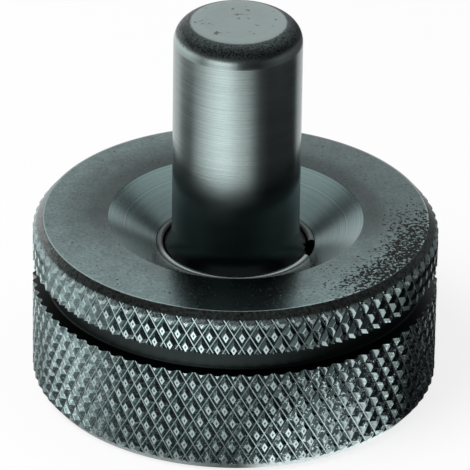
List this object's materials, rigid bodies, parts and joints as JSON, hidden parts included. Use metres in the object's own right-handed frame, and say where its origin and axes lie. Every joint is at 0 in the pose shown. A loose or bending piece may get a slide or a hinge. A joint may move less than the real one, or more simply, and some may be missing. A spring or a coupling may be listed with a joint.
{
  "type": "thrust pad",
  "caption": "Knurled round steel thrust pad with a grip groove and a conical mouth, holding a swivelling ball-ended pin with a snap ring",
  "frame": {"origin": "centre of the pad's flat clamping face, at the bottom of the bounding box", "axes": "+Z along the upright pin, away from the clamping face; +X and +Y across the pad, with the snap ring's gap near +X"},
  "size_m": [0.0508, 0.0508, 0.0495],
  "materials": {
    "pad_steel": "turned and knurled steel, black oxide, worn to grey on the edges",
    "spring_steel": "drawn spring wire, bare and bright",
    "pin_steel": "turned and ground steel, black oxide, glossy"
  },
  "bodies": {
    "pad": {"pad_body": "pad_steel"},
    "ring": {"snap_ring": "spring_steel"},
    "pin": {"thrust_pin": "pin_steel"}
  },
  "joints": [
    {"name": "ring_turn", "type": "hinge", "parent": "pad", "child": "ring", "pos_m": [0, 0, 0.0184], "axis": [0, 0, 1], "continuous": true},
    {"name": "pin_tilt", "type": "hinge", "parent": "ring", "child": "pin", "pos_m": [0, 0, 0.01488], "axis": [0, 1, 0], "range_deg": [-12, 12]}
  ]
}
